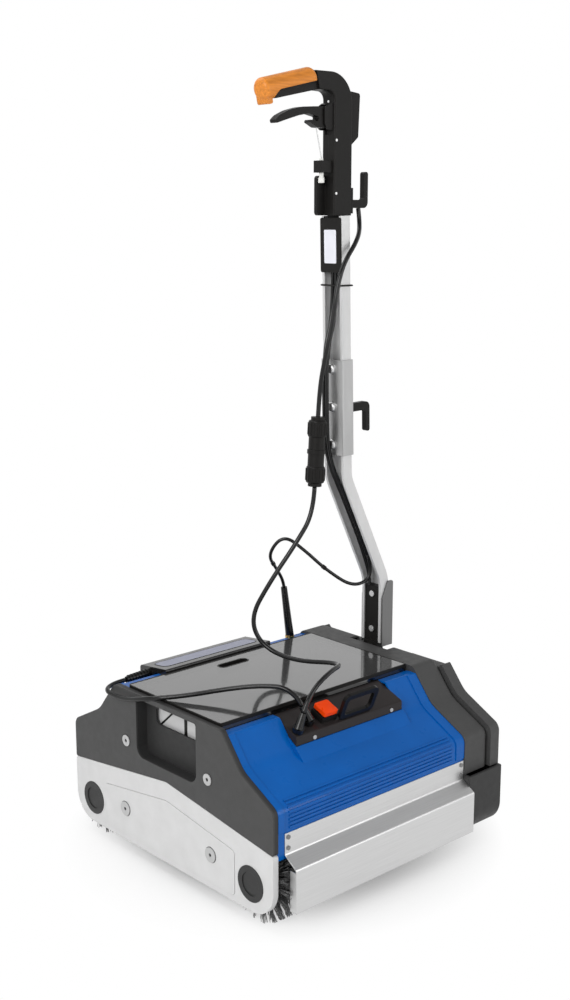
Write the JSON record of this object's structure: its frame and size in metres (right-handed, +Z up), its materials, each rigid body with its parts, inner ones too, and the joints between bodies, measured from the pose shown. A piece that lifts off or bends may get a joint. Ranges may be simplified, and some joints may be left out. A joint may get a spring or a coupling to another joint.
{
  "type": "floor scrubber",
  "caption": "Walk-behind floor scrubber with counter-rotating cylinder brushes, lift-off tank lid, side drive cover and a tilting channel handle with trigger and mains cord.",
  "frame": {"origin": "on the floor under the middle of the machine without its free cords", "axes": "+X along the brushes towards the drive side, +Y aft, +Z up"},
  "size_m": [0.472, 0.509, 1.151],
  "materials": {
    "plate_grey": "satin",
    "panel_dark": "fine grain",
    "black_plastic": "fine grain",
    "console_black": "glossy",
    "hood_blue": "glossy",
    "smoky_lid": "glossy",
    "tank_white": "satin",
    "orange": "satin",
    "white_plastic": "satin",
    "pole_grey": "satin grey",
    "steel": "satin",
    "alloy": "as cast",
    "brass": "turned",
    "gear_nylon": "moulded",
    "bristle": "nylon strands",
    "black_rubber": "matt"
  },
  "bodies": {
    "chassis": {"left_side_plate": "plate_grey", "left_access_cover": "plate_grey", "left_upper_panel": "panel_dark", "brush_end_caps": "black_plastic", "body_screws": "steel", "right_bulkhead": "alloy", "tie_rails": "steel", "shaft_bearings": "brass", "front_hood": "hood_blue", "rear_hood": "hood_blue", "front_splash_guard": "steel", "rear_splash_guard": "steel", "guard_rivets": "steel", "clean_water_tank": "tank_white", "recovery_tray": "black_plastic", "control_console": "console_black", "switch_base": "black_plastic", "switch_hoop": "black_plastic", "console_glands": "black_rubber", "rear_console": "black_plastic", "console_cord_boot": "black_rubber", "drive_cover": "panel_dark", "drive_outer_cover": "panel_dark", "drive_foot": "panel_dark", "motor_housing": "alloy", "drive_belts": "black_rubber", "handle_pivot_pin": "steel", "dosing_valve": "brass", "valve_boot": "black_rubber", "console_cord": "black_rubber", "handle_cord_lower": "black_rubber", "valve_cable": "black_rubber"},
    "handle": {"pivot_lug": "black_plastic", "handle_bracket": "steel", "lower_pole": "pole_grey", "upper_pole": "pole_grey", "pole_splice": "pole_grey", "cable_hooks": "black_plastic", "label_plate": "black_plastic", "head_shell_left": "black_plastic", "head_shell_right": "black_plastic", "grip_cover": "orange", "handle_screws": "steel", "barrel_adjuster": "white_plastic", "channel_cables": "black_rubber", "handle_cord_upper": "black_rubber", "inline_connector": "black_plastic"},
    "lever": {"trigger_lever": "black_plastic"},
    "lid": {"tank_lid": "smoky_lid"},
    "rocker": {"switch_rocker": "orange"},
    "valve_plunger": {"valve_stem": "brass"},
    "front_brush_unit": {"front_brush": "bristle", "front_brush_pulley": "gear_nylon"},
    "rear_brush_unit": {"rear_brush": "bristle", "rear_brush_pulley": "gear_nylon"},
    "front_drum_unit": {"front_drum": "alloy"},
    "rear_drum_unit": {"rear_drum": "alloy"},
    "rotor": {"motor_rotor": "steel", "motor_pulley": "gear_nylon"},
    "layshaft": {"reversing_gear": "gear_nylon"}
  },
  "joints": [
    {"name": "handle_tilt", "type": "hinge", "parent": "chassis", "child": "handle", "pos_m": [0.1975, 0, 0.25], "axis": [1, 0, 0], "range_deg": [-35, 35], "deforming": ["handle_cord_lower", "valve_cable"]},
    {"name": "lever_squeeze", "type": "hinge", "parent": "handle", "child": "lever", "pos_m": [0.0805, 0, 1.091], "axis": [0, 1, 0], "range_deg": [0, 13], "stiffness_Nm_per_rad": 2, "springref_deg": -8.59},
    {"name": "valve_lift", "type": "slide", "parent": "chassis", "child": "valve_plunger", "axis": [0, 0, 1], "range_m": [0, 0.005]},
    {"name": "lid_lift", "type": "slide", "parent": "chassis", "child": "lid", "axis": [0, 0, 1], "range_m": [0, 0.014], "deforming": ["console_cord"]},
    {"name": "rocker_tip", "type": "hinge", "parent": "chassis", "child": "rocker", "pos_m": [-0.053, -0.1454, 0.248], "axis": [1, 0, 0], "range_deg": [-7, 7]},
    {"name": "front_brush_spin", "type": "hinge", "parent": "chassis", "child": "front_brush_unit", "pos_m": [-0.0315, -0.1855, 0.06], "axis": [1, 0, 0], "continuous": true},
    {"name": "rear_brush_spin", "type": "hinge", "parent": "chassis", "child": "rear_brush_unit", "pos_m": [-0.0315, 0.1855, 0.06], "axis": [1, 0, 0], "continuous": true},
    {"name": "front_drum_spin", "type": "hinge", "parent": "chassis", "child": "front_drum_unit", "pos_m": [-0.0315, -0.08, 0.084], "axis": [1, 0, 0], "continuous": true},
    {"name": "rear_drum_spin", "type": "hinge", "parent": "chassis", "child": "rear_drum_unit", "pos_m": [-0.0315, 0.08, 0.084], "axis": [1, 0, 0], "continuous": true},
    {"name": "motor_spin", "type": "hinge", "parent": "chassis", "child": "rotor", "pos_m": [-0.0315, 0, 0.15], "axis": [1, 0, 0], "continuous": true},
    {"name": "layshaft_spin", "type": "hinge", "parent": "chassis", "child": "layshaft", "pos_m": [-0.0315, 0.03464, 0.13], "axis": [1, 0, 0], "continuous": true}
  ],
  "couplings": [
    {"joint": "rear_brush_spin", "follows": "front_brush_spin", "ratio": -1},
    {"joint": "front_drum_spin", "follows": "front_brush_spin", "ratio": -1.3043},
    {"joint": "rear_drum_spin", "follows": "front_brush_spin", "ratio": 1.3043},
    {"joint": "motor_spin", "follows": "front_brush_spin", "ratio": 2.1429},
    {"joint": "layshaft_spin", "follows": "front_brush_spin", "ratio": -2.1429},
    {"joint": "valve_lift", "follows": "lever_squeeze", "m_per_rad": 0.022}
  ]
}
